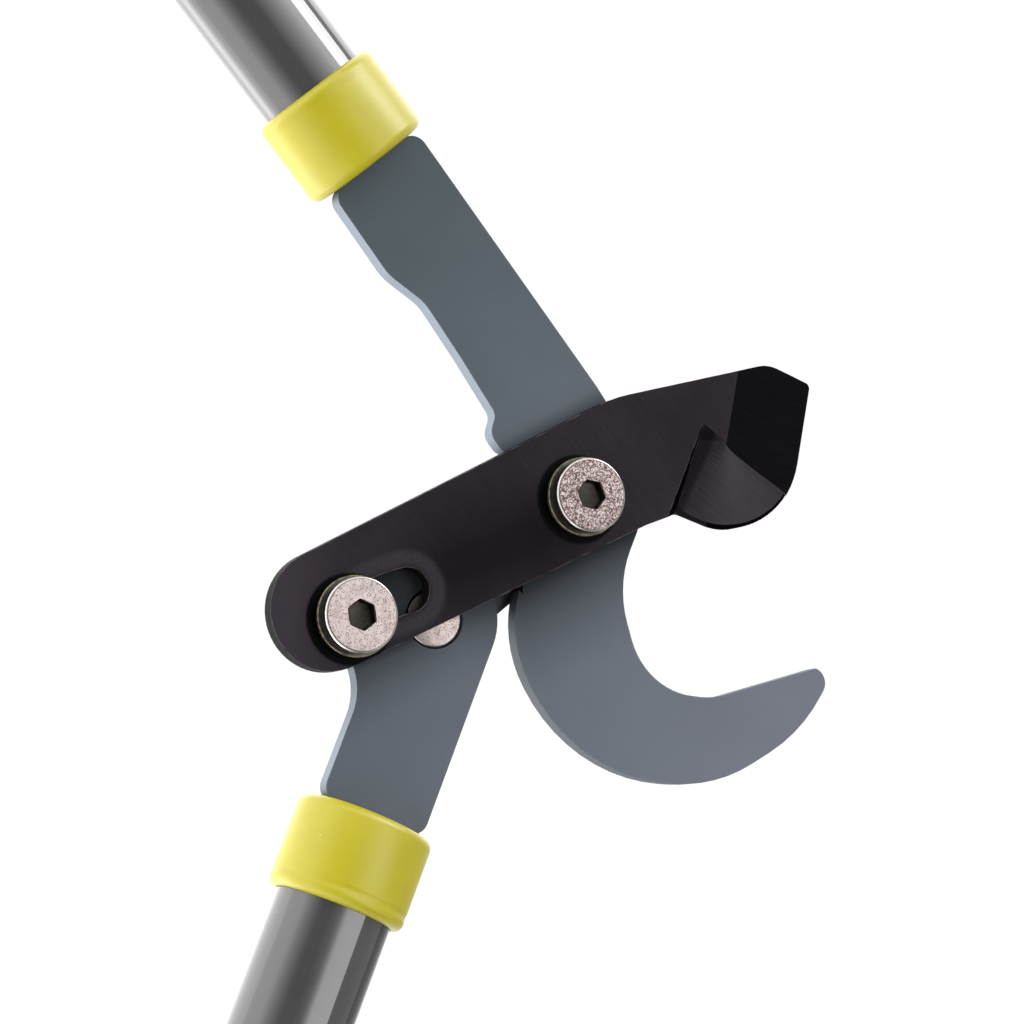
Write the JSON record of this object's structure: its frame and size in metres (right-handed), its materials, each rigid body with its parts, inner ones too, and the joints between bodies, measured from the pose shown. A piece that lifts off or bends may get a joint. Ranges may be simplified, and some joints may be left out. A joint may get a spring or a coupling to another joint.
{
  "type": "geared lopper",
  "caption": "Geared bypass lopper: a slotted blade driven past a curved hook by meshing gear sectors on two arms with long oval tube handles.",
  "frame": {"origin": "on the main pivot's axis, at the flat back end of the main bolt and its nut, which rests on the ground", "axes": "+Z along the main pivot towards the front of the blade, +X towards the open mouth, the two handles opening evenly to +Y and -Y"},
  "size_m": [0.4548, 1.1926, 0.028],
  "materials": {
    "slate_paint": "satin slate grey paint over steel plate",
    "black_steel": "blackened ground steel, satin",
    "dark_washer": "oiled dark steel",
    "zinc_steel": "zinc plated, slightly speckled",
    "lime_plastic": "moulded lime yellow, satin gloss",
    "tube_paint": "glossy mid grey paint",
    "grip_rubber": "soft matte black",
    "plug_plastic": "plain black"
  },
  "bodies": {
    "upper": {"hook_arm": "slate_paint", "upper_plug": "plug_plastic", "upper_cross_pin": "zinc_steel", "upper_tube": "tube_paint", "upper_collar": "lime_plastic", "upper_grip": "grip_rubber", "upper_end_cap": "lime_plastic", "main_bolt": "zinc_steel", "main_bush": "zinc_steel", "main_front_washer": "dark_washer", "main_back_washer": "zinc_steel", "main_nut": "zinc_steel"},
    "lower": {"lower_arm": "slate_paint", "lower_plug": "plug_plastic", "lower_cross_pin": "zinc_steel", "lower_tube": "tube_paint", "lower_collar": "lime_plastic", "lower_grip": "grip_rubber", "lower_end_cap": "lime_plastic", "drive_bolt": "zinc_steel", "drive_bush": "zinc_steel", "drive_front_washer": "dark_washer", "drive_back_washer": "zinc_steel", "drive_nut": "zinc_steel"},
    "link": {"rear_link": "black_steel", "link_bolt": "zinc_steel", "link_back_washer": "zinc_steel", "link_nut": "zinc_steel"},
    "blade": {"cutting_blade": "black_steel"}
  },
  "joints": [
    {"name": "link_pivot", "type": "hinge", "parent": "upper", "child": "link", "pos_m": [0, 0, 0.014], "axis": [0, 0, -1], "range_deg": [0, 52]},
    {"name": "lower_handle_pivot", "type": "hinge", "parent": "link", "child": "lower", "pos_m": [-0.04114, -0.02375, 0.014], "axis": [0, 0, -1], "range_deg": [0, 52]},
    {"name": "blade_pivot", "type": "hinge", "parent": "upper", "child": "blade", "pos_m": [0, 0, 0.0186], "axis": [0, 0, -1], "range_deg": [0, 64.95]}
  ],
  "couplings": [
    {"joint": "lower_handle_pivot", "follows": "link_pivot", "ratio": 1},
    {"joint": "blade_pivot", "follows": "link_pivot", "ratio": 1.2489}
  ]
}
